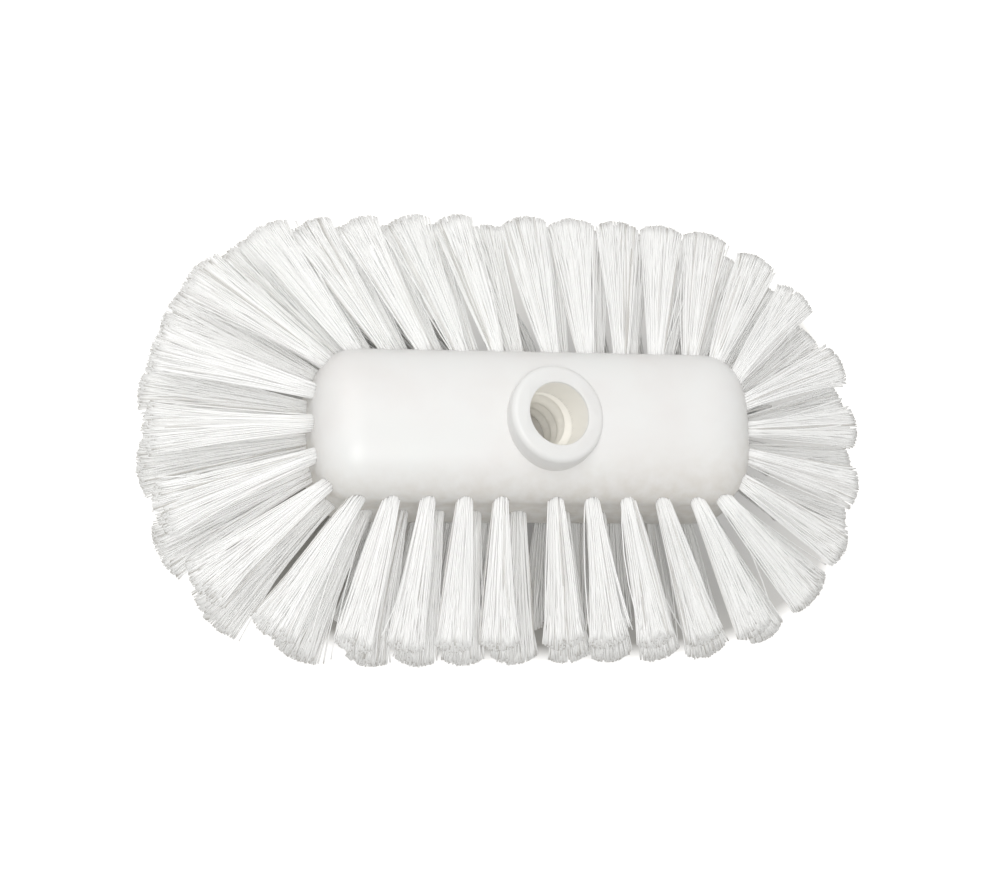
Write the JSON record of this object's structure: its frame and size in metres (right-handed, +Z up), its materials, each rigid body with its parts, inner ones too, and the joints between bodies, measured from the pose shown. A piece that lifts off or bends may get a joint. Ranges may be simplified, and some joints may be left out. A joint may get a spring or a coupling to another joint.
{
  "type": "tank brush",
  "caption": "Long oval scrubbing brush head with stiff white tufts fanning out from its sides, edge and foot, and a slanted handle socket in a round collar on top.",
  "frame": {"origin": "middle of the whole brush's box in plan, at the plane of the trimmed tips it stands on", "axes": "+X along the block's length, towards the side the handle leans to; +Y across the block; +Z up, out of the side with the handle socket"},
  "size_m": [0.2456, 0.1544, 0.0899],
  "materials": {
    "block_plastic": "smooth moulded white plastic with a soft sheen",
    "fibre": "slightly clear white monofilament"
  },
  "bodies": {
    "root": {"block": "block_plastic", "upper_front_left": "fibre", "upper_front_right": "fibre", "upper_right_end": "fibre", "upper_back_right": "fibre", "upper_back_left": "fibre", "upper_left_end": "fibre", "lower_front_left": "fibre", "lower_front_right": "fibre", "lower_right_end": "fibre", "lower_back_right": "fibre", "lower_back_left": "fibre", "lower_left_end": "fibre", "rim_front_left": "fibre", "rim_front_right": "fibre", "rim_right_end": "fibre", "rim_back_right": "fibre", "rim_back_left": "fibre", "rim_left_end": "fibre", "bottom_front": "fibre", "bottom_middle": "fibre", "bottom_back": "fibre"}
  },
  "joints": []
}
